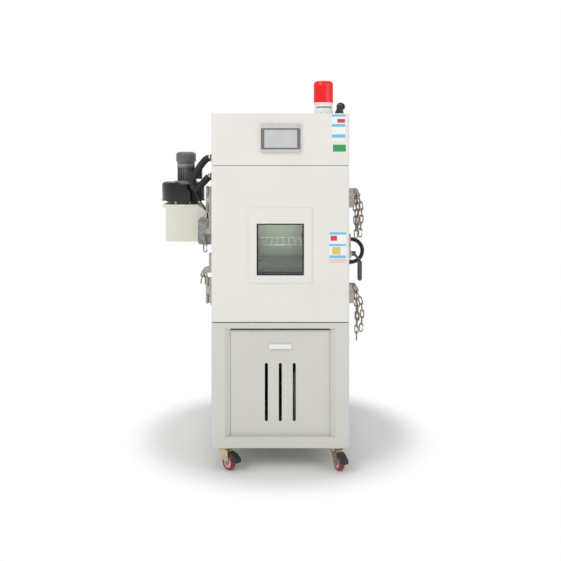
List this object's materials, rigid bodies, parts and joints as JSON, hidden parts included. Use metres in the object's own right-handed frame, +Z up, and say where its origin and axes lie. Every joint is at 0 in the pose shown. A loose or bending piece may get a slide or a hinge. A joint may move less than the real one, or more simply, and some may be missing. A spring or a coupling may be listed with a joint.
{
  "type": "environmental test chamber",
  "caption": "Upright temperature and humidity chamber on casters, with a windowed door, operator panel, signal beacon, side blower and safety chains.",
  "frame": {"origin": "on the floor under the middle of the cabinet", "axes": "+X to the right as seen from the front, +Y to the back, +Z up"},
  "size_m": [1.0544, 1.1068, 1.93],
  "materials": {
    "cabinet_paint": "fine textured powder coat",
    "lower_paint": "satin powder coat",
    "stainless": "brushed",
    "insulation": "glass wool",
    "zinc": "zinc plated",
    "yellow_zinc": "yellow zinc plated",
    "glass": "clear, green tint",
    "screen": "dull glass front",
    "bezel": "satin",
    "soft_seal": "silicone",
    "black_plastic": "satin",
    "black_gloss": "gloss",
    "black_rubber": "foam and rubber",
    "motor_paint": "satin enamel",
    "duct_paint": "satin",
    "red_lens": "ribbed lens",
    "white_plastic": "satin",
    "copper": "drawn tube",
    "red_tread": "polyurethane",
    "lever_grey": "satin",
    "lamp_glass": "opal",
    "machine_black": "gloss enamel",
    "fin_metal": "finned"
  },
  "bodies": {
    "cabinet": {"base_plinth": "lower_paint", "lower_front_frame": "lower_paint", "side_panels": "cabinet_paint", "rear_panel": "cabinet_paint", "roof_panel": "cabinet_paint", "head_fascia": "cabinet_paint", "wall_insulation": "insulation", "chamber_liner": "stainless", "hmi_bezel": "bezel", "hmi_screen": "screen", "air_duct_panel": "stainless", "heater_coil": "stainless", "evaporator_coil": "fin_metal", "fan_motor": "motor_paint", "chamber_lamp": "lamp_glass", "compressor": "machine_black", "condenser_coil": "fin_metal", "refrigerant_pipes": "copper", "water_tank": "white_plastic", "beacon_base": "white_plastic", "beacon_lens": "red_lens", "roof_cable_elbow": "black_plastic", "exhaust_duct_box": "duct_paint", "blower_housing": "black_gloss", "blower_motor": "motor_paint", "motor_wiring": "black_plastic", "junction_box": "zinc", "coolant_hose": "black_rubber", "side_conduit": "black_rubber", "cabinet_brackets": "zinc", "caster_plates": "yellow_zinc"},
    "door": {"door_shell": "cabinet_paint", "door_inner_panel": "stainless", "window_trim": "cabinet_paint", "window_glass": "glass", "door_gasket": "soft_seal", "door_hinge_leaves": "zinc", "latch_base": "zinc"},
    "latch_lever": {"latch_lever": "lever_grey"},
    "service_panel": {"service_panel": "lower_paint", "panel_pull": "white_plastic"},
    "shelf": {"shelf": "stainless"},
    "circulation_fan": {"circulation_fan": "fin_metal"},
    "condenser_fan": {"condenser_fan": "black_plastic"},
    "blower_impeller": {"blower_impeller": "fin_metal"},
    "beacon_reflector": {"beacon_reflector": "stainless"},
    "upper_right_chain": {"upper_right_chain": "zinc"},
    "lower_right_chain": {"lower_right_chain": "zinc"},
    "upper_left_chain": {"upper_left_chain": "zinc"},
    "lower_left_chain": {"lower_left_chain": "zinc"},
    "caster_fork_front_left": {"caster_fork_front_left": "yellow_zinc"},
    "caster_wheel_front_left": {"caster_wheel_front_left": "red_tread"},
    "caster_brake_front_left": {"caster_brake_front_left": "black_plastic"},
    "caster_fork_front_right": {"caster_fork_front_right": "yellow_zinc"},
    "caster_wheel_front_right": {"caster_wheel_front_right": "red_tread"},
    "caster_brake_front_right": {"caster_brake_front_right": "black_plastic"},
    "caster_fork_rear_left": {"caster_fork_rear_left": "yellow_zinc"},
    "caster_wheel_rear_left": {"caster_wheel_rear_left": "red_tread"},
    "caster_fork_rear_right": {"caster_fork_rear_right": "yellow_zinc"},
    "caster_wheel_rear_right": {"caster_wheel_rear_right": "red_tread"}
  },
  "joints": [
    {"name": "door_hinge", "type": "hinge", "parent": "cabinet", "child": "door", "pos_m": [-0.366, -0.455, 1.1175], "axis": [0, 0, -1], "range_deg": [0, 105]},
    {"name": "latch_lever_turn", "type": "hinge", "parent": "door", "child": "latch_lever", "pos_m": [0.362, -0.49, 1.066], "axis": [-1, 0, 0], "range_deg": [0, 90]},
    {"name": "service_panel_slide", "type": "slide", "parent": "cabinet", "child": "service_panel", "axis": [0, -1, 0], "range_m": [0, 0.25]},
    {"name": "shelf_slide", "type": "slide", "parent": "cabinet", "child": "shelf", "axis": [0, -1, 0], "range_m": [0, 0.03]},
    {"name": "circulation_fan_spin", "type": "hinge", "parent": "cabinet", "child": "circulation_fan", "pos_m": [0, -0.005, 1.2375], "axis": [0, 1, 0], "continuous": true},
    {"name": "condenser_fan_spin", "type": "hinge", "parent": "cabinet", "child": "condenser_fan", "pos_m": [0, 0.401, 0.366], "axis": [0, 1, 0], "continuous": true},
    {"name": "blower_spin", "type": "hinge", "parent": "cabinet", "child": "blower_impeller", "pos_m": [-0.497, -0.25, 1.36], "axis": [0, 0, 1], "continuous": true},
    {"name": "beacon_spin", "type": "hinge", "parent": "cabinet", "child": "beacon_reflector", "pos_m": [0.219, -0.4, 1.85], "axis": [0, 0, 1], "continuous": true},
    {"name": "upper_right_chain_swing", "type": "hinge", "parent": "cabinet", "child": "upper_right_chain", "pos_m": [0.38, -0.431, 1.377], "axis": [0, -1, 0], "range_deg": [-3, 20]},
    {"name": "lower_right_chain_swing", "type": "hinge", "parent": "cabinet", "child": "lower_right_chain", "pos_m": [0.372, -0.431, 0.897], "axis": [0, -1, 0], "range_deg": [-3, 20]},
    {"name": "upper_left_chain_swing", "type": "hinge", "parent": "cabinet", "child": "upper_left_chain", "pos_m": [-0.368, -0.431, 1.17], "axis": [0, 1, 0], "range_deg": [-3, 20]},
    {"name": "lower_left_chain_swing", "type": "hinge", "parent": "cabinet", "child": "lower_left_chain", "pos_m": [-0.38, -0.431, 0.975], "axis": [0, 1, 0], "range_deg": [-3, 20]},
    {"name": "caster_swivel_front_left", "type": "hinge", "parent": "cabinet", "child": "caster_fork_front_left", "pos_m": [-0.277, -0.479, 0.096], "axis": [0, 0, 1], "continuous": true},
    {"name": "caster_roll_front_left", "type": "hinge", "parent": "caster_fork_front_left", "child": "caster_wheel_front_left", "pos_m": [-0.25296, -0.50304, 0.0375], "axis": [0.7071, 0.7071, 0], "continuous": true},
    {"name": "caster_brake_press_front_left", "type": "hinge", "parent": "caster_fork_front_left", "child": "caster_brake_front_left", "pos_m": [-0.25154, -0.50446, 0.082], "axis": [0.7071, 0.7071, 0], "range_deg": [0, 8]},
    {"name": "caster_swivel_front_right", "type": "hinge", "parent": "cabinet", "child": "caster_fork_front_right", "pos_m": [0.277, -0.479, 0.096], "axis": [0, 0, 1], "continuous": true},
    {"name": "caster_roll_front_right", "type": "hinge", "parent": "caster_fork_front_right", "child": "caster_wheel_front_right", "pos_m": [0.28974, -0.51052, 0.0375], "axis": [0.9272, 0.3746, 0], "continuous": true},
    {"name": "caster_brake_press_front_right", "type": "hinge", "parent": "caster_fork_front_right", "child": "caster_brake_front_right", "pos_m": [0.29049, -0.51238, 0.082], "axis": [0.9272, 0.3746, 0], "range_deg": [0, 8]},
    {"name": "caster_swivel_rear_left", "type": "hinge", "parent": "cabinet", "child": "caster_fork_rear_left", "pos_m": [-0.277, 0.479, 0.096], "axis": [0, 0, 1], "continuous": true},
    {"name": "caster_roll_rear_left", "type": "hinge", "parent": "caster_fork_rear_left", "child": "caster_wheel_rear_left", "pos_m": [-0.24755, 0.462, 0.0375], "axis": [0.5, 0.866, 0], "continuous": true},
    {"name": "caster_swivel_rear_right", "type": "hinge", "parent": "cabinet", "child": "caster_fork_rear_right", "pos_m": [0.277, 0.479, 0.096], "axis": [0, 0, 1], "continuous": true},
    {"name": "caster_roll_rear_right", "type": "hinge", "parent": "caster_fork_rear_right", "child": "caster_wheel_rear_right", "pos_m": [0.30984, 0.4702, 0.0375], "axis": [0.2588, 0.9659, 0], "continuous": true}
  ]
}
